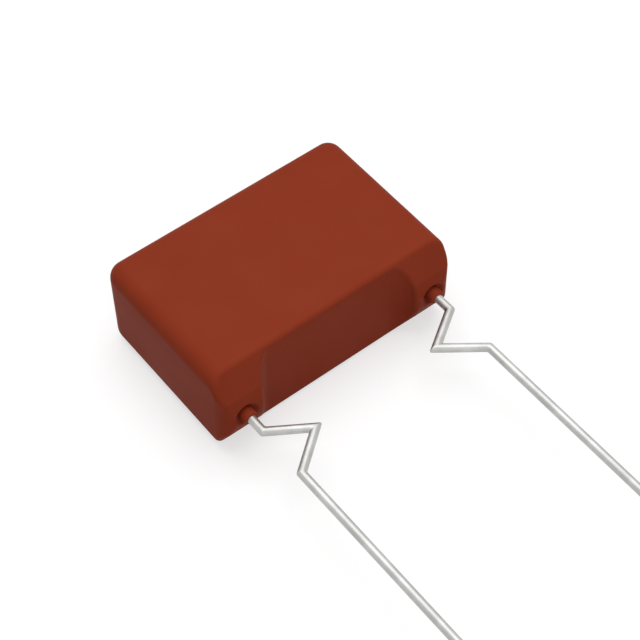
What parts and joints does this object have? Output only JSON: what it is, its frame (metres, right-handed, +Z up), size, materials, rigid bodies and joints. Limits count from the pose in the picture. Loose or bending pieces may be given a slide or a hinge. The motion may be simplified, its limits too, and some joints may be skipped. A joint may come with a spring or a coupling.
{
  "type": "film capacitor",
  "caption": "Radial film capacitor: a flattened film winding in a box-shaped dipped epoxy coat, with crimped tinned wire leads.",
  "frame": {"origin": "middle of the broad side that the coat rests on", "axes": "+Z up through the coat's thickness, X along the pitch from one lead to the other, the leads point along -Y"},
  "size_m": [0.0184, 0.0358, 0.0071],
  "materials": {
    "epoxy_coat": "smooth red-brown dipped epoxy, soft gloss",
    "metallised_film": "metallised polyester film, silvery",
    "sprayed_metal": "dull, grainy sprayed zinc",
    "tinned_wire": "bright tin, satin"
  },
  "bodies": {
    "root": {"coating": "epoxy_coat", "film_winding": "metallised_film", "end_spray_left": "sprayed_metal", "end_spray_right": "sprayed_metal", "lead_left": "tinned_wire", "lead_right": "tinned_wire"}
  },
  "joints": []
}
